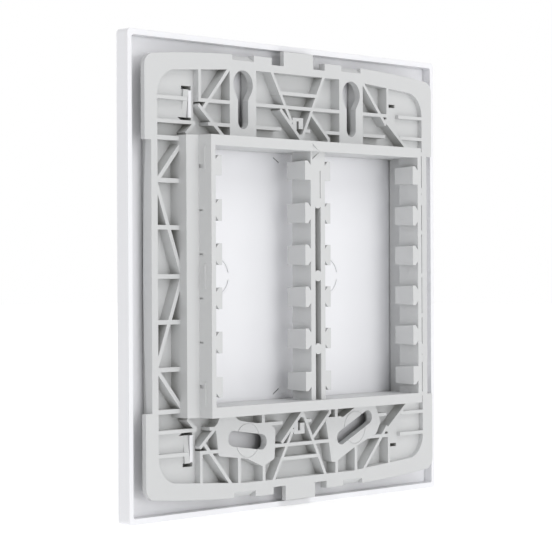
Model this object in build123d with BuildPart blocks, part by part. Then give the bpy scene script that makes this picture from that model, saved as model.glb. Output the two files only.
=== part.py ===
from build123d import *
import os

os.makedirs("parts", exist_ok=True)

# Blank wall plate: a white clip-on cover over a ribbed mounting frame.
# Millimetres. Y = 0 is the frame's wall-side face, the front looks along -Y,
# Z is up. Sketches are drawn as seen from the wall side: u to the right, v up.

# Cover
plate_size = 118.0
plate_depth = 4.2
corner_r = 1.0
rim_corner_r = 0.6
edge_r = 0.7
face_t = 1.7
rim_t = 1.4
rim_setback = 2.05

# Clearances between the frame's edges and the cover's rim
tab_gap = 0.35
crown_gap = 2.5
ear_gap = 2.2

# Frame, front to back
pocket_depth = 3.0
seat_gap = 0.3
corner_floor_depth = 1.8
right_floor_depth = 1.35
skin_t = 1.25
plate_t = 1.85
rib_t = 0.9
side_rib_t = 1.1
upright_t = 1.05
skirt_t = 0.9
bite = 0.4

# Frame outline
waist_step = 2.15
waist_v = 32.7
ear_edge_t = 1.3
edge_t = 2.0
waist_bow = 0.9
ear_drop = 1.7
ear_corner_r = 3.0
crown_u = 24.9
crown_bulge = 0.25
tab_rise = 0.2
side_tab_u0 = 10.3
side_tab_u1 = 17.0
notch_depth = 1.6
centre_tab_u = 5.7
bevel = 1.35

# Ribbed area between the outer band and the openings
band_side = 4.25
band_end = 3.5
band_slope = 1.7
arc_reach_u = 5.85
arc_reach_v = 6.3
arc_belly = 1.85
low_rib_v = 37.4
high_rib_v = 43.1
inner_rib_v = 46.6
rung_v = (33.35, 23.1, 11.8, 0, -11, -22.4, -32.5)
long_rib_start = (35.2, 41.9)
long_rib_end = (44.9, 34.4)
long_rib_floor = (36.3, 41.05)

# Module openings and the walls round them
opening_half_v = 31.6
wall_top = 7.85
rail_t = 2.6
box_lower_u = 43.8
box_upper_u = 40.8
shoulder_low = 2.4
shoulder_high = 3.65
side_wall_t = 1.5
bar_half = 2.75
bar_top = 6.35
bar_slot_w = 2.1
bar_slot_end = 17.6
bar_slot_floor = 0.8
bar_crease_t = 0.25
bar_crease_v0 = 19.8
bar_crease_v1 = 26.8
pin_r = 1.4
pin_pitch = 18.6
point_u0 = -3.7
point_u1 = -0.9
point_reach = 2.0
point_shift = 1.65
point_depth = 0.6

# Teeth that hold the modules
tooth_pitch = 10.65
tooth_rows = 6
tooth_tip = 5.25
tooth_neck = 3.1
tooth_reach = 2.15
tooth_depth = 6.35
tooth_draft = 2.5
tooth_root = 0.7
end_tooth_cut = 0.35

# Marks and beads on the outer faces of the side walls
mark_w = 0.4
mark_depth = 0.4
bead_l = 6.0
bead_v = 28.5
bead_h = 0.3
bead_y = 5.5
bead_w = 0.4
mark_foot = 0.1
mark_head = 1.3

# Fixing holes
keyhole_pitch = 42.0
key_plate_w = 9.7
key_head_r = 3.6
key_head_gap = 3.85
key_slot_w = 3.7
key_slot_l = 9.2
plate_wall = 1.0
plate_corner_r = 0.9
ring_groove_r = 4.3
ring_groove_w = 0.25
ring_groove_depth = 0.12
left_slot = (-19.9, -41.05)
left_slot_l = 14.3
left_slot_w = 3.9
left_slot_tilt = -7.8
right_slot = (21.85, -40.15)
right_slot_l = 15.4
right_slot_w = 3.7
right_slot_tilt = 23.9

# Snap legs of the cover, and the windows in the frame that they reach into. The legs
# on the right are shorter both ways: they stay clear of the long corner rib, and end in
# hollows behind flat tongues.
leg_u = 38.05
leg_t = 1.05
leg_low = 38.7
leg_low_right = 41.0
leg_high = 45.35
leg_gap = 0.15
leg_end = -1.45
leg_end_right = -2.6
hollow_end = -2.4
window_end = 46.4
window_u = 41.25
foot_gap = 0.8
foot_reach = 1.3
tongue_u = 40.95
tongue_high = 45.5
tongue_head = -1.2
tongue_foot = -2.0
tongue_flat = -1.05
flat_tongue_v0 = 39.95
flat_tongue_v1 = 37.45

# Ring ridges inside the cover
ring_r = 4.8
ring_t = 0.35
ring_h = 0.2
ring_shift = 5.6
ring_break = 2.0
tick_w = 0.3
tick_depth = 0.3

# Derived places
cover_front = -(rim_setback + plate_depth)
cover_floor = cover_front + face_t
rim_inner = plate_size / 2 - rim_t
frame_front = cover_floor + seat_gap
centre_tab_v = rim_inner - tab_gap
crown_v = rim_inner - crown_gap
side_tab_v = crown_v + tab_rise
notch_v = crown_v - notch_depth
ear_half = rim_inner - ear_gap
ear_corner_v = crown_v - ear_drop
waist_half = ear_half - waist_step
pocket_u = ear_half - band_side
pocket_v = crown_v - band_end
pocket_v_ear = pocket_v - band_slope
pocket_arc_u = pocket_u - arc_reach_u
pocket_arc_v = pocket_v_ear - arc_reach_v
body_half = pocket_u + skirt_t
rib_end = pocket_v + bite
band_edge = pocket_u + bite
box_half_v = opening_half_v + rail_t
rib_root = box_half_v - bite
opening_u0 = bar_half
opening_u1 = box_upper_u - side_wall_t
wide_u = box_lower_u - side_wall_t
wall_step = wall_top - tooth_depth
key_plate_u = keyhole_pitch / 2
key_head_v = pocket_v - key_head_gap
key_slot_v = key_head_v - key_slot_l
key_shoulder_u = key_head_r * 0.82
key_shoulder_v = key_head_v - key_head_r * 0.57
floor_edge_u = leg_u - leg_gap - rib_t
window_foot = leg_low - foot_gap
leg_outer = leg_u + leg_t + leg_gap


def back(depth):
    """Sketch plane square to the wall, seen from the wall side."""
    return Plane(origin=(0, depth, 0), x_dir=(-1, 0, 0), z_dir=(0, 1, 0))


def boxes(corners, y0, y1, mode=Mode.ADD):
    """Blocks given by two corners each in the wall-side view, from y0 back to y1."""
    with BuildSketch(back(y0)) as faces:
        for u0, v0, u1, v1 in corners:
            with Locations(((u0 + u1) / 2, (v0 + v1) / 2)):
                Rectangle(abs(u1 - u0), abs(v1 - v0))
    extrude(faces.sketch, amount=y1 - y0, mode=mode)


def corners_of(u0, v0, u1, v1):
    """The same block in all four quarters."""
    return [
        (side * u0, end * v0, side * u1, end * v1) for side in (-1, 1) for end in (-1, 1)
    ]


def frame_outline(y0):
    """The frame's outer edge, from y0 back to the wall side."""
    corner_u = ear_half - ear_corner_r
    with BuildSketch(back(y0)) as face:
        with BuildLine():
            Line((0, notch_v), (crown_u, notch_v))
            Line((crown_u, notch_v), (crown_u, crown_v))
            ThreePointArc(
                (crown_u, crown_v),
                ((crown_u + corner_u) / 2, (crown_v + ear_corner_v) / 2 + crown_bulge),
                (corner_u, ear_corner_v),
            )
            RadiusArc(
                (corner_u, ear_corner_v), (ear_half, ear_corner_v - ear_corner_r), ear_corner_r
            )
            Line((ear_half, ear_corner_v - ear_corner_r), (ear_half, waist_v))
            Line((ear_half, waist_v), (waist_half, waist_v))
            Line((waist_half, waist_v), (waist_half, 0))
            Line((waist_half, 0), (0, 0))
            Line((0, 0), (0, notch_v))
        make_face()
        mirror(about=Plane.YZ)
        mirror(about=Plane.XZ)
    extrude(face.sketch, amount=-y0)


def ribbed_face(y0, grow):
    """Outline of the area inside the outer band, grown by a wall."""
    with BuildSketch(back(y0), mode=Mode.PRIVATE) as face:
        with BuildLine():
            Line((0, pocket_v), (key_plate_u, pocket_v))
            Line((key_plate_u, pocket_v), (pocket_arc_u, pocket_v_ear))
            ThreePointArc(
                (pocket_arc_u, pocket_v_ear),
                (pocket_u - arc_belly, pocket_v_ear - arc_belly),
                (pocket_u, pocket_arc_v),
            )
            Line((pocket_u, pocket_arc_v), (pocket_u, 0))
            Line((pocket_u, 0), (0, 0))
            Line((0, 0), (0, pocket_v))
        make_face()
        mirror(about=Plane.YZ)
        mirror(about=Plane.XZ)
        if grow:
            offset(amount=grow)
    return face


def ribbed_area(y0, grow=0.0, mode=Mode.ADD):
    """That area from y0 back to the wall side."""
    extrude(ribbed_face(y0, grow).sketch, amount=-y0, mode=mode)


# Mounting frame: the moulding that is screwed to the wall box.
with BuildPart() as frame:
    # Inner body, from the front skin to the wall side
    ribbed_area(frame_front, skirt_t)

    # Flange round the body
    frame_outline(-ear_edge_t)

    # Waist lips, bowed deeper at mid-height
    for side in (-1, 1):
        lip_plane = Plane(
            origin=(-side * waist_half, 0, 0), x_dir=(0, 1, 0), z_dir=(-side, 0, 0)
        )
        reach = waist_v * lip_plane.y_dir.Z
        with BuildSketch(lip_plane):
            with BuildLine():
                Line((0, reach), (-edge_t, reach))
                ThreePointArc((-edge_t, reach), (-edge_t - waist_bow, 0), (-edge_t, -reach))
                Line((-edge_t, -reach), (0, -reach))
                Line((0, -reach), (0, reach))
            make_face()
        extrude(amount=body_half - waist_half - 0.1)

    # Tabs at the top and the bottom
    boxes(corners_of(0, pocket_v, centre_tab_u, centre_tab_v), -ear_edge_t, 0)
    side_tabs = corners_of(side_tab_u0, notch_v - 0.5, side_tab_u1, side_tab_v)
    crowns = corners_of(side_tab_u1, notch_v - 0.5, crown_u, crown_v)
    boxes(side_tabs + crowns, -edge_t, 0)
    for end in (-1, 1):
        for side in (-1, 1):
            bevel_plane = Plane(
                origin=(-side * side_tab_u1, 0, 0), x_dir=(0, 0, 1), z_dir=(-side, 0, 0)
            )
            lean = bevel_plane.y_dir.Y
            with BuildSketch(bevel_plane):
                with BuildLine():
                    Polyline(
                        (end * (crown_v - bevel), 0),
                        (end * (crown_v + 0.01), 0),
                        (end * (crown_v + 0.01), -edge_t * lean),
                        close=True,
                    )
                make_face()
            extrude(amount=crown_u - side_tab_u1, mode=Mode.SUBTRACT)

    # Ribbed area, cut down to the front skin
    ribbed_area(-pocket_depth, 0, Mode.SUBTRACT)

    # Shallower floors in the four corners, bounded on the right by the long corner rib
    with BuildSketch(back(-pocket_depth)):
        for end in (-1, 1):
            with BuildLine():
                Polyline(
                    (-ear_half, end * low_rib_v),
                    (-floor_edge_u, end * low_rib_v),
                    (-floor_edge_u, end * crown_v),
                    (-ear_half, end * crown_v),
                    close=True,
                )
            make_face()
        add(ribbed_face(-pocket_depth, skirt_t / 2).sketch_local, mode=Mode.INTERSECT)
    extrude(amount=pocket_depth - corner_floor_depth)
    with BuildSketch(back(-pocket_depth)):
        for end in (-1, 1):
            with BuildLine():
                Polyline(
                    (long_rib_floor[0], end * long_rib_floor[1]),
                    (long_rib_end[0], end * long_rib_end[1]),
                    (long_rib_end[0], end * rib_root),
                    (ear_half, end * rib_root),
                    (ear_half, end * crown_v),
                    (long_rib_floor[0], end * crown_v),
                    close=True,
                )
            make_face()
        add(ribbed_face(-pocket_depth, skirt_t / 2).sketch_local, mode=Mode.INTERSECT)
    extrude(amount=pocket_depth - right_floor_depth)

    # Ribs of the side pockets: rungs and a zigzag
    with BuildSketch(back(-pocket_depth)):
        for side in (-1, 1):
            inner = side * (box_lower_u - 0.5)
            outer = side * band_edge
            rungs = [((inner, v), (outer, v)) for v in rung_v]
            zigzag = [
                ((inner, 31.8), (outer, 22.7)),
                ((outer, 22.2), (inner, 1.0)),
                ((inner, -0.8), (outer, -21.6)),
                ((outer, -22.4), (inner, -31.8)),
            ]
            for start, finish in rungs + zigzag:
                with BuildLine():
                    Line(start, finish)
                trace(line_width=side_rib_t)
    extrude(amount=pocket_depth)

    # Ribs between the keyholes and between the screw slots
    with BuildSketch(back(-pocket_depth)):
        key_edge = key_plate_u - key_plate_w / 2 + 0.3
        for end in (-1, 1):
            truss = [
                ((-10.4, rib_end), (-2.6, 39.2)),
                ((-7.1, 42.5), (0.9, 35.1)),
                ((10.1, rib_end), (1.1, 35.1)),
                ((4.9, 41.9), (11.8, 35.7)),
                ((0.9, 36.4), (0.9, rib_root)),
                ((11.8, 36.1), (11.8, rib_root)),
                ((-key_edge, high_rib_v), (key_edge, high_rib_v)),
                ((-key_edge, low_rib_v), (-6.7, low_rib_v)),
                ((2.2, low_rib_v), (4.5, low_rib_v)),
                ((10.4, low_rib_v), (key_edge, low_rib_v)),
                ((-7.6, inner_rib_v), (7.0, inner_rib_v)),
            ]
            for start, finish in truss:
                with BuildLine():
                    Line((start[0], end * start[1]), (finish[0], end * finish[1]))
                trace(line_width=rib_t)
            with BuildLine():
                Polyline(
                    (-2.4, end * 40.6),
                    (1.7, end * 40.6),
                    (1.7, end * 37.8),
                    (0, end * 37.8),
                    (0, end * 39.7),
                    (-0.85, end * 39.7),
                    (-0.85, end * 37.4),
                    (-2.4, end * 38.2),
                    close=True,
                )
            make_face()
    extrude(amount=pocket_depth)

    # Ribs of the corner areas, left then right, the same top and bottom
    with BuildSketch(back(-pocket_depth)):
        key_outer = key_plate_u + key_plate_w / 2 - 0.3
        for end in (-1, 1):
            corner = [
                ((-band_edge, high_rib_v), (-tongue_u, high_rib_v)),
                ((-37, high_rib_v), (-key_outer, high_rib_v)),
                ((-band_edge, low_rib_v), (-38.2, low_rib_v)),
                ((-33.6, low_rib_v), (-key_outer, low_rib_v)),
                ((-36.55, 42.8), (-36.55, rib_end - 0.4)),
                ((-25.6, rib_end - 0.1), (-35.6, 40.8)),
                ((-37, 41.9), (-28.2, 34.6)),
                ((-38.2, low_rib_v), (-41.4, 34.6)),
                ((key_outer, high_rib_v), (37, high_rib_v)),
                ((tongue_u, high_rib_v), (band_edge, high_rib_v)),
                ((key_outer, low_rib_v), (35.3, low_rib_v)),
                ((41.6, low_rib_v), (band_edge, low_rib_v)),
                ((long_rib_floor[0], 41.4), (long_rib_floor[0], rib_end - 0.4)),
                ((25.6, rib_end - 0.4), (35.6, 40.6)),
                (long_rib_start, long_rib_end),
            ]
            for start, finish in corner:
                with BuildLine():
                    Line((start[0], end * start[1]), (finish[0], end * finish[1]))
                trace(line_width=rib_t)
        # Short uprights beside the screw plates
        for u in (-22.9, -13.85, 14.45, 22.35):
            with BuildLine():
                Line((u, -44), (u, -rib_end))
            trace(line_width=upright_t)
        for u in (-14, 14.4):
            with BuildLine():
                Line((u, -rib_root), (u, -38))
            trace(line_width=upright_t)
    extrude(amount=pocket_depth)

    # Plates round the keyholes
    half = key_plate_w / 2
    boxes(
        [(side * (key_plate_u - half), rib_root, side * (key_plate_u + half), rib_end)
         for side in (-1, 1)],
        -pocket_depth, 0,
    )

    # Plates round the two slanted screw slots, their corners given from each slot's middle
    left_plate = [
        (-9.6, 7.25), (-4.6, 7.25), (-4.1, 5.8), (-2.8, 5.05), (9.0, 3.3), (10.4, 1.9),
        (10.0, -5.3), (5.6, -6.9), (-0.1, -4.6), (-10.5, -3.3), (-11.5, 3.6),
    ]
    right_plate = [
        (-11.8, 2.9), (-4.6, 3.0), (0.1, 5.25), (0.1, 6.35), (8.8, 6.35), (8.9, 5.3),
        (10.9, 0.8), (8.9, -2.3), (4.8, -3.6), (0.1, -5.2), (-7.6, -8.6), (-9.5, -8.6),
    ]
    screw_plates = ((left_slot, left_plate), (right_slot, right_plate))
    with BuildSketch(back(-pocket_depth)):
        for middle, corners in screw_plates:
            with BuildLine():
                Polyline(*[(middle[0] + u, middle[1] + v) for u, v in corners], close=True)
            make_face()
        fillet(vertices().filter_by_position(Axis.Y, -60, -36.9), radius=plate_corner_r)
    extrude(amount=pocket_depth)

    # Walls round the openings: wide lower part, sloped shoulder, thin upper part
    wall_plane = Plane(origin=(0, 0, -box_half_v), x_dir=(1, 0, 0), z_dir=(0, 0, 1))
    with BuildSketch(wall_plane):
        with BuildLine():
            Polyline(
                (-box_lower_u, frame_front),
                (-box_lower_u, shoulder_low),
                (-box_upper_u, shoulder_high),
                (-box_upper_u, wall_top),
                (box_upper_u, wall_top),
                (box_upper_u, shoulder_high),
                (box_lower_u, shoulder_low),
                (box_lower_u, frame_front),
                close=True,
            )
        make_face()
    extrude(amount=2 * box_half_v)

    # Two module openings between the upper walls
    boxes(
        corners_of(opening_u0, 0, opening_u1, opening_half_v), -1, wall_top + 1, Mode.SUBTRACT
    )

    # One wide window in front of them: the centre bar starts at the wall side's level
    boxes(
        [(-wide_u, -opening_half_v, wide_u, opening_half_v)], frame_front - 1, 0, Mode.SUBTRACT
    )
    for side in (-1, 1):
        with BuildSketch(Plane(origin=(0, 0, -opening_half_v), x_dir=(1, 0, 0), z_dir=(0, 0, 1))):
            with BuildLine():
                Polyline(
                    (side * (opening_u1 - 1), -1),
                    (side * (opening_u1 - 1), wall_step),
                    (side * opening_u1, wall_step),
                    (side * wide_u, wall_step - (shoulder_high - shoulder_low)),
                    (side * wide_u, -1),
                    close=True,
                )
            make_face()
        extrude(amount=2 * opening_half_v, mode=Mode.SUBTRACT)

    # Centre bar: lower than the walls, slotted down its middle, with round pins
    slot_half = bar_slot_w / 2
    boxes(
        [(-opening_u0 - 0.5, -opening_half_v, opening_u0 + 0.5, opening_half_v)],
        bar_top, wall_top + 1, Mode.SUBTRACT,
    )
    boxes(
        [(-slot_half, -opening_half_v, slot_half, bar_slot_end)],
        bar_slot_floor, bar_top, Mode.SUBTRACT,
    )
    boxes(
        [(slot_half - bar_crease_t, bar_crease_v0, slot_half, bar_crease_v1)],
        bar_top - bar_crease_t, bar_top + 1, Mode.SUBTRACT,
    )
    with BuildSketch(back(bar_slot_floor)):
        with Locations((0, 0), (0, -pin_pitch), (0, pin_pitch)):
            Circle(pin_r)
    extrude(amount=bar_top - bar_slot_floor)

    # Pointed notch where the bar runs into the top rail, its floor rising to the point:
    # the upper half in the rail, the lower half in the bar
    for level, start, tip, reach in (
        (wall_top, point_u0, point_u1, point_reach),
        (bar_top, point_u0 + point_shift, point_u1 + point_shift, -point_reach),
    ):
        with BuildPart(mode=Mode.PRIVATE) as notch:
            with BuildSketch(back(0)):
                with BuildLine():
                    Polyline(
                        (start, opening_half_v + reach),
                        (tip, opening_half_v),
                        (start, opening_half_v),
                        close=True,
                    )
                make_face()
            extrude(amount=wall_top + 1)
            fall = Plane(origin=(0, 0, 0), x_dir=(-1, 0, 0), z_dir=(0, 0, -1))
            with BuildSketch(fall):
                with BuildLine():
                    Polyline(
                        (start, fall.y_dir.Y * (level - point_depth)),
                        (tip, fall.y_dir.Y * level),
                        (tip, fall.y_dir.Y * (wall_top + 1)),
                        (start, fall.y_dir.Y * (wall_top + 1)),
                        close=True,
                    )
                make_face()
            extrude(amount=box_half_v, both=True, mode=Mode.INTERSECT)
        add(notch.part, mode=Mode.SUBTRACT)

    # Teeth along both sides of both openings, drafted narrower towards the front
    for wall_u, lean, top in (
        (-opening_u1, 1, wall_top),
        (-opening_u0, -1, bar_top),
        (opening_u0, 1, bar_top),
        (opening_u1, -1, wall_top),
    ):
        with BuildSketch(back(top)):
            for row in range(tooth_rows):
                middle = (row - (tooth_rows - 1) / 2) * tooth_pitch
                low_tip = middle - tooth_tip / 2
                high_tip = middle + tooth_tip / 2
                low_neck = middle - tooth_neck / 2
                high_neck = middle + tooth_neck / 2
                if row == 0:
                    high_tip = high_tip - end_tooth_cut
                    high_neck = high_tip
                if row == tooth_rows - 1:
                    low_tip = low_tip + end_tooth_cut
                    low_neck = low_tip
                tip_u = wall_u + lean * tooth_reach
                flare_u = wall_u + lean * (tooth_reach - (tooth_tip - tooth_neck) / 2)
                with BuildLine():
                    Polyline(
                        (wall_u - lean * tooth_root, low_neck),
                        (wall_u, low_neck),
                        (flare_u, low_tip),
                        (tip_u, low_tip),
                        (tip_u, high_tip),
                        (flare_u, high_tip),
                        (wall_u, high_neck),
                        (wall_u - lean * tooth_root, high_neck),
                        close=True,
                    )
                make_face()
        extrude(amount=-tooth_depth, taper=tooth_draft)

    # Outer faces of the side walls: a small sunk mark behind every tooth, three thin beads
    marks = []
    beads = []
    for side in (-1, 1):
        outer = side * box_upper_u
        for row in range(tooth_rows):
            middle = (row - (tooth_rows - 1) / 2) * tooth_pitch
            half = mark_w if row in (0, tooth_rows - 1) else mark_w / 2
            marks.append((outer - side * mark_depth, middle - half, outer + side, middle + half))
        for v in (-bead_v, 0, bead_v):
            beads.append((outer - side * 0.1, v - bead_l / 2, outer + side * bead_h, v + bead_l / 2))
    boxes(marks, shoulder_high + mark_foot, shoulder_high + mark_head, Mode.SUBTRACT)
    boxes(beads, bead_y, bead_y + bead_w)

    # Hollows in front of the plates and the corner floors, which leave even walls
    half = key_plate_w / 2 - plate_wall
    boxes(
        [(side * (key_plate_u - half), box_half_v + plate_wall,
          side * (key_plate_u + half), key_head_v + key_head_r + 0.25) for side in (-1, 1)],
        frame_front - 1, -plate_t, Mode.SUBTRACT,
    )
    with BuildSketch(back(frame_front - 1)):
        for middle, corners in screw_plates:
            with BuildSketch(mode=Mode.PRIVATE) as plate:
                with BuildLine():
                    Polyline(*[(middle[0] + u, middle[1] + v) for u, v in corners], close=True)
                make_face()
                offset(amount=-plate_wall)
            add(plate.sketch)
    extrude(amount=-plate_t - (frame_front - 1), mode=Mode.SUBTRACT)
    boxes(
        corners_of(leg_outer + 2.5, window_foot + 3, pocket_u - 0.6, pocket_arc_v + 2),
        frame_front - 1, -corner_floor_depth - skin_t, Mode.SUBTRACT,
    )

    # Keyholes, right through
    with BuildSketch(back(frame_front - 1)):
        for side in (-1, 1):
            middle = side * keyhole_pitch / 2
            with Locations((middle, key_head_v)):
                Circle(key_head_r)
            with Locations((middle, key_slot_v)):
                Circle(key_slot_w / 2)
            with BuildLine():
                Polyline(
                    (middle - key_slot_w / 2, key_slot_v),
                    (middle + key_slot_w / 2, key_slot_v),
                    (middle + key_slot_w / 2, key_head_v - key_head_r - 0.2),
                    (middle + key_shoulder_u, key_shoulder_v),
                    (middle - key_shoulder_u, key_shoulder_v),
                    (middle - key_slot_w / 2, key_head_v - key_head_r - 0.2),
                    close=True,
                )
            make_face()
    extrude(amount=1 - frame_front, mode=Mode.SUBTRACT)

    # Slanted screw slots, right through, each inside a fine turned groove
    with BuildSketch(back(-ring_groove_depth)):
        with Locations(left_slot, right_slot):
            Circle(ring_groove_r + ring_groove_w / 2)
            Circle(ring_groove_r - ring_groove_w / 2, mode=Mode.SUBTRACT)
    extrude(amount=1, mode=Mode.SUBTRACT)
    with BuildSketch(back(frame_front - 1)):
        with Locations(Location((left_slot[0], left_slot[1], 0), (0, 0, left_slot_tilt))):
            SlotOverall(left_slot_l, left_slot_w)
        with Locations(Location((right_slot[0], right_slot[1], 0), (0, 0, right_slot_tilt))):
            SlotOverall(right_slot_l, right_slot_w)
    extrude(amount=1 - frame_front, mode=Mode.SUBTRACT)

    # Windows for the snap legs: a narrow slot for the leg and a wider one at its outer end
    windows = []
    for end in (-1, 1):
        windows.append((-leg_u + leg_gap, end * window_foot, -leg_outer, end * window_end))
        windows.append((-leg_outer, end * tongue_high, -window_u, end * window_end))
    boxes(windows, frame_front - 1, 1, Mode.SUBTRACT)
    with BuildSketch(back(frame_front - 1)):
        for end in (-1, 1):
            with BuildLine():
                Polyline(
                    (-leg_outer + 0.1, end * window_foot),
                    (-window_u, end * window_foot),
                    (-window_u - foot_reach, end * leg_low),
                    (-leg_outer + 0.1, end * leg_low),
                    close=True,
                )
            make_face()
    extrude(amount=-frame_front + 1, mode=Mode.SUBTRACT)

    # Tongues beside the legs: sloped on the left, flat and cut off by the long rib on the right
    boxes(
        [(-leg_outer, end * leg_low, -tongue_u, end * tongue_high) for end in (-1, 1)],
        tongue_foot - skin_t, -corner_floor_depth + 0.1, Mode.SUBTRACT,
    )
    for end in (-1, 1):
        slope = Plane(origin=(leg_outer, 0, 0), x_dir=(0, 0, 1), z_dir=(1, 0, 0))
        lean = slope.y_dir.Y
        with BuildSketch(slope):
            with BuildLine():
                Polyline(
                    (end * leg_low, lean * (tongue_foot - skin_t)),
                    (end * leg_low, lean * tongue_foot),
                    (end * tongue_high, lean * tongue_head),
                    (end * tongue_high, lean * (tongue_foot - skin_t)),
                    close=True,
                )
            make_face()
        extrude(amount=tongue_u - leg_outer + 0.05)
    with BuildSketch(back(-right_floor_depth - skin_t)):
        for end in (-1, 1):
            with BuildLine():
                Polyline(
                    (leg_u - 1, end * flat_tongue_v0),
                    (tongue_u, end * flat_tongue_v1),
                    (tongue_u, end * tongue_high),
                    (leg_u - 1, end * tongue_high),
                    close=True,
                )
            make_face()
    extrude(amount=right_floor_depth + skin_t + tongue_flat)

    # Hollows for the legs on the right, with a small window past the end of each tongue
    boxes(
        [(leg_u - leg_gap, end * (leg_low_right - leg_gap), leg_outer, end * window_end)
         for end in (-1, 1)],
        frame_front - 1, hollow_end, Mode.SUBTRACT,
    )
    boxes(
        [(leg_u, end * tongue_high, tongue_u, end * window_end) for end in (-1, 1)],
        frame_front - 1, 1, Mode.SUBTRACT,
    )

frame.part.label = "mounting_frame"

# Cover: closed face with a turned-back rim and four snap legs.
with BuildPart() as cover:
    with BuildSketch(back(cover_front)):
        RectangleRounded(plate_size, plate_size, corner_r)
    extrude(amount=plate_depth)
    fillet(cover.faces().sort_by(Axis.Y)[0].edges(), radius=edge_r)
    with BuildSketch(back(cover_floor)):
        RectangleRounded(2 * rim_inner, 2 * rim_inner, rim_corner_r)
    extrude(amount=plate_depth, mode=Mode.SUBTRACT)
    boxes(
        [(-leg_u, end * leg_low, -leg_u - leg_t, end * leg_high) for end in (-1, 1)],
        cover_floor, leg_end,
    )
    boxes(
        [(leg_u, end * leg_low_right, leg_u + leg_t, end * leg_high) for end in (-1, 1)],
        cover_floor, leg_end_right,
    )

    # Broken rings standing on the inner face
    for side in (-1, 1):
        centre = side * keyhole_pitch / 2 - ring_shift
        with BuildSketch(back(cover_floor)):
            with Locations((centre, 0)):
                Circle(ring_r + ring_t / 2)
                Circle(ring_r - ring_t / 2, mode=Mode.SUBTRACT)
            with Locations((centre + ring_r, 0)):
                Rectangle(2, ring_break, mode=Mode.SUBTRACT)
        extrude(amount=ring_h)
    # Two short scored marks beside the top and bottom rails
    with BuildSketch(back(cover_floor)):
        for start, finish in (((-4.9, 30.4), (-2.8, 29.2)), ((-5.3, -30.3), (-3.2, -29.0))):
            with BuildLine():
                Line(start, finish)
            trace(line_width=tick_w)
    extrude(amount=-tick_depth, mode=Mode.SUBTRACT)

cover.part.label = "cover"

export_step(frame.part, "parts/mounting_frame.step")
export_step(cover.part, "parts/cover.step")
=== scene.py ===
import math

import bmesh
import bpy
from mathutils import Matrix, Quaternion, Vector


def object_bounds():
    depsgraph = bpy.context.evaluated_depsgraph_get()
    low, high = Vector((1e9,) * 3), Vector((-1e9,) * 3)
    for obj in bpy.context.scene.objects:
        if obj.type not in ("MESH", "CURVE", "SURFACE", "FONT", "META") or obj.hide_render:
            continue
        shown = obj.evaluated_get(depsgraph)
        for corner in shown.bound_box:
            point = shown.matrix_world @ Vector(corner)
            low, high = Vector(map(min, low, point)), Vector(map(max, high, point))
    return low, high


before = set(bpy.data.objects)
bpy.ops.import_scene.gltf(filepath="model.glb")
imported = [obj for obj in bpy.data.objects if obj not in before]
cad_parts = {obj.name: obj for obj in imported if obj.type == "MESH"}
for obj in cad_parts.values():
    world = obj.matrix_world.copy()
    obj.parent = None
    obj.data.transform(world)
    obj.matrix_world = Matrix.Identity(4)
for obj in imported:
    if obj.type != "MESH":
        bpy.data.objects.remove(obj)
cad_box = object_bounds()

# Mounting frame: the ribbed carrier that is screwed to the wall box. One light grey
# moulding, with the fine even grain that a spark-eroded mould leaves on it. Painted
# shade darkens its closed-in pockets towards a deep grey.


class Signal:
    """A shader value that Python's operators work on: each one adds a Math node."""

    def __init__(self, tree, socket):
        self.tree = tree
        self.socket = socket

    def node(self, kind, settings=None, **inputs):
        """Adds a node: its settings first, then the values or links of its sockets."""
        made = self.tree.nodes.new(kind)
        for name, value in (settings or {}).items():
            setattr(made, name, value)
        for name, value in inputs.items():
            name = name.replace("_", " ")
            places = [s for s in made.inputs if s.name == name and s.enabled]
            if not places and name.startswith("in "):
                places = [made.inputs[int(name.removeprefix("in "))]]
            if isinstance(value, Signal):
                self.tree.links.new(value.socket, places[0])
            else:
                places[0].default_value = value
        return made

    def of(self, made, output=0):
        """One output of a node, ready to work with."""
        return Signal(self.tree, made.outputs[output])

    def feed(self, shader, name):
        """Links the value to a named socket of a shader."""
        self.tree.links.new(self.socket, shader.inputs[name])

    def math(self, operation, first, second):
        made = self.node(
            "ShaderNodeMath", {"operation": operation}, in_0=first, in_1=second
        )
        return self.of(made)

    def __add__(self, other):
        return self.math("ADD", self, other)

    def __radd__(self, other):
        return self.math("ADD", other, self)

    def __sub__(self, other):
        return self.math("SUBTRACT", self, other)

    def __rsub__(self, other):
        return self.math("SUBTRACT", other, self)

    def __mul__(self, other):
        return self.math("MULTIPLY", self, other)

    def __rmul__(self, other):
        return self.math("MULTIPLY", other, self)


def new_material(name):
    """An empty material, its shader, and where on the piece a point lies."""
    material = bpy.data.materials.new(name)
    material.use_nodes = True
    shader = material.node_tree.nodes["Principled BSDF"]
    start = Signal(material.node_tree, None)
    place = start.of(start.node("ShaderNodeTexCoord"), "Object")
    return material, shader, place


def cloudy(place, size, detail, roughness):
    """Soft noise round 0.5, its clouds about as large as the size."""
    made = place.node(
        "ShaderNodeTexNoise", Vector=place, Scale=1 / size, Detail=detail, Roughness=roughness
    )
    return place.of(made)


def openness(place, reach, own_shape=False):
    """How open a point lies: 1 on a free face, towards 0 deep in a corner or a pocket."""
    made = place.node(
        "ShaderNodeAmbientOcclusion",
        {"samples": openness_rays, "only_local": own_shape},
        Distance=reach,
    )
    return place.of(made, "AO")


def painted_shade_tone(place, shader, light, deep, how_light):
    """Base colour between a lit tone and a painted shade tone: the lit one where the signal
    is 1.
    """
    colour_output = 2
    made = place.node(
        "ShaderNodeMix", {"data_type": "RGBA"}, Factor=how_light, A=deep, B=light
    )
    place.of(made, colour_output).feed(shader, "Base Color")


def moulded_skin(place, shader, height, strength, edge_r):
    """Fine relief on faces whose sharp edges look rounded by a small radius."""
    edge = place.node("ShaderNodeBevel", {"samples": edge_rays}, Radius=edge_r)
    skin = place.node(
        "ShaderNodeBump", Strength=strength, Distance=relief_depth, Height=height,
        Normal=place.of(edge),
    )
    place.of(skin).feed(shader, "Normal")


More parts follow.
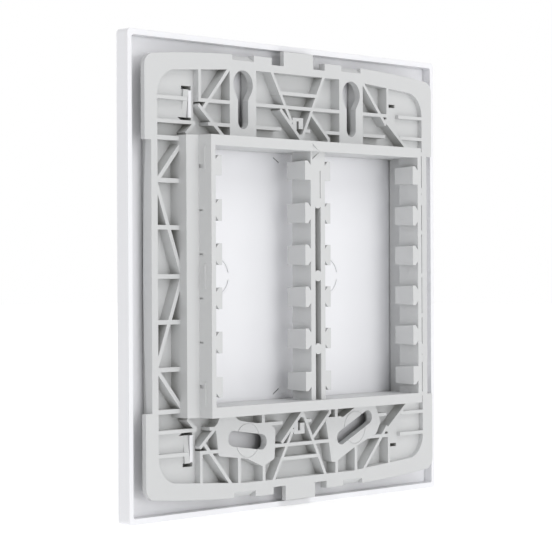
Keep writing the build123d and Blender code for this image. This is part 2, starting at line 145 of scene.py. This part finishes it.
def finish_with(piece, material):
    piece.data.materials.clear()
    piece.data.materials.append(material)


frame_grey = (0.642, 0.649, 0.652, 1.0)
frame_painted_shade = (0.3, 0.3, 0.28, 1.0)
frame_roughness = 0.46
frame_edge_r = 0.00007
frame_grain_strength = 0.25
frame_tone_drift = 0.05
frame_tone_grain = 0.03
frame_gloss_drift = 0.08
frame_gloss_grain = 0.06
pocket_reach = 0.008
pocket_gain = 3.2
grain_size = 0.00035
flow_size = 0.03
relief_depth = 0.00003
plastic_ior = 1.5
openness_rays = 12
edge_rays = 6

grey_plastic, shader, place = new_material("grey_moulded_plastic")
flow = cloudy(place, flow_size, detail=3.0, roughness=0.55) - 0.5
grain_height = cloudy(place, grain_size, detail=2.0, roughness=0.6)
grain = grain_height - 0.5
# Painted shade: the base colour darkens towards the deep grey where pockets close in.
how_light = pocket_gain * openness(place, pocket_reach)
how_light = how_light + frame_tone_drift * flow + frame_tone_grain * grain
painted_shade_tone(place, shader, frame_grey, frame_painted_shade, how_light)
rough = frame_roughness + frame_gloss_drift * flow + frame_gloss_grain * grain
rough.feed(shader, "Roughness")
moulded_skin(place, shader, grain_height, frame_grain_strength, frame_edge_r)
shader.inputs["IOR"].default_value = plastic_ior
finish_with(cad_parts["mounting_frame"], grey_plastic)

# Cover: the blank face plate, one bright white moulding with a polished skin, clipped
# over the frame. Its inner side gets painted shade where the frame closes it in, and
# fine painted shade at their feet draws its ring ridges.

cover_white = (0.9, 0.903, 0.93, 1.0)
cover_painted_shade = (0.2, 0.2, 0.21, 1.0)
cover_roughness = 0.2
cover_edge_r = 0.0001
cover_ripple_strength = 0.15
cover_tone_drift = 0.06
cover_gloss_drift = 0.06
hole_reach = 0.012
hole_gain = 5.0
painted_shade_half = 0.052
ridge_reach = 0.0006
ridge_shade = 0.45
ripple_size = 0.0025

white_plastic, shader, place = new_material("white_gloss_plastic")
flow = cloudy(place, flow_size, detail=2.0, roughness=0.5) - 0.5
ripple = cloudy(place, ripple_size, detail=2.0, roughness=0.5)
from_middle = place.node("ShaderNodeVectorMath", {"operation": "ABSOLUTE"}, Vector=place)
parts = place.node("ShaderNodeSeparateXYZ", Vector=place.of(from_middle))
furthest = place.node(
    "ShaderNodeMath", {"operation": "MAXIMUM"},
    in_0=place.of(parts, "X"), in_1=place.of(parts, "Z"),
)
behind_frame = place.node(
    "ShaderNodeMath", {"operation": "LESS_THAN"},
    in_0=place.of(furthest), in_1=painted_shade_half,
)
# Painted shade: inside the square behind the frame, the base colour darkens towards a dark
# grey where it lies closed in, and at the ridges' feet.
hole_light = hole_gain * openness(place, hole_reach) + cover_tone_drift * flow
in_hole = place.node(
    "ShaderNodeMath", {"operation": "MINIMUM"}, in_0=hole_light, in_1=1.0
)
beside_ridge = 1 - openness(place, ridge_reach, own_shape=True)
how_light = 1 - place.of(behind_frame) * (1 - place.of(in_hole))
how_light = how_light - ridge_shade * beside_ridge
painted_shade_tone(place, shader, cover_white, cover_painted_shade, how_light)
rough = cover_roughness + cover_gloss_drift * flow
rough.feed(shader, "Roughness")
moulded_skin(place, shader, ripple, cover_ripple_strength, cover_edge_r)
shader.inputs["IOR"].default_value = plastic_ior
finish_with(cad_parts["cover"], white_plastic)

# Floor: a pale lit sheet that the plate stands on. Seen directly it is white, with a
# little painted shade round the plate's foot on top of the shadow that falls there.

floor_half = 3.0
floor_white = (0.86, 0.86, 0.86, 1.0)
paper_roughness = 0.9
plain_white = (1.0, 1.0, 1.0, 1.0)
floor_glow = 0.46
far_lift = 0.12
painted_foot_shade = 0.04
shadow_reach = 0.5
foot_height = cad_box[0][2]


def seen_directly(place):
    """1 for the camera and for what mirrors or passes its view, 0 for light that bounces."""
    path = place.node("ShaderNodeLightPath")
    by_camera = place.of(path, "Is Camera Ray")
    return by_camera + place.of(path, "Is Glossy Ray") + place.of(path, "Is Transmission Ray")


sheet = bmesh.new()
bmesh.ops.create_grid(sheet, x_segments=2, y_segments=2, size=floor_half)
bmesh.ops.translate(sheet, verts=sheet.verts, vec=(0, 0, foot_height))
floor_mesh = bpy.data.meshes.new("floor")
sheet.to_mesh(floor_mesh)
sheet.free()
floor = bpy.data.objects.new("floor", floor_mesh)
bpy.context.scene.collection.objects.link(floor)
floor_paper, shader, place = new_material("floor_paper")
shader.inputs["Base Color"].default_value = floor_white
shader.inputs["Roughness"].default_value = paper_roughness
shader.inputs["Emission Color"].default_value = plain_white
toward_foot = place.node(
    "ShaderNodeVectorMath", {"operation": "SCALE"}, Vector=place, Scale=1 / shadow_reach
)
near = place.of(place.node(
    "ShaderNodeTexGradient", {"gradient_type": "SPHERICAL"}, Vector=place.of(toward_foot)
))
# Painted shade: seen directly, the floor's glow is lowered round the plate's foot.
lift = floor_glow + seen_directly(place) * (far_lift - (far_lift + painted_foot_shade) * near)
lift.feed(shader, "Emission Strength")
finish_with(floor, floor_paper)

# Studio: an even white surround, two soft boxes on the wall side, one nearly level with
# the plate and one well above it, and a third for the blank front.

surround_strength = 0.53

world = bpy.data.worlds.new("studio")
world.use_nodes = True
bpy.context.scene.world = world
air = Signal(world.node_tree, None)
level = surround_strength + (1 - surround_strength) * seen_directly(air)
backdrop = world.node_tree.nodes["Background"]
backdrop.inputs["Color"].default_value = plain_white
level.feed(backdrop, "Strength")


def softbox(name, place, size, watts):
    """A square lamp that faces the middle of the plate."""
    lamp = bpy.data.lights.new(name, "AREA")
    lamp.shape = "SQUARE"
    lamp.size = size
    lamp.energy = watts
    holder = bpy.data.objects.new(name, lamp)
    holder.location = place
    holder.rotation_euler = (-Vector(place)).to_track_quat("-Z", "Y").to_euler()
    bpy.context.scene.collection.objects.link(holder)


softbox("wall_side_box", place=(0.0, 1.35, 0.15), size=0.7, watts=2.6)
softbox("top_box", place=(0.0, 0.95, 0.95), size=0.7, watts=3.6)
softbox("front_box", place=(-0.1, -1.3, 0.6), size=0.9, watts=4.0)

# Camera: on the wall side, level with the plate's middle and turned well to one side, so
# that one upright rim stands nearest. A long lens, half a metre away.

camera_place = (0.4008, 0.35265, 0.0)
camera_aim = (-0.7432, -0.669, 0.0)
camera_roll = math.radians(-0.262)
lens_mm = 135.385
sensor_mm = 36.0
nearest_seen = 0.01

camera = bpy.data.objects.new("camera", bpy.data.cameras.new("camera"))
camera.location = camera_place
level_turn = Vector(camera_aim).to_track_quat("-Z", "Y")
camera.rotation_euler = (level_turn @ Quaternion((0, 0, 1), camera_roll)).to_euler()
camera.data.lens = lens_mm
camera.data.sensor_width = sensor_mm
camera.data.clip_start = nearest_seen
bpy.context.scene.collection.objects.link(camera)
bpy.context.scene.camera = camera
bpy.context.scene.view_settings.view_transform = "Standard"
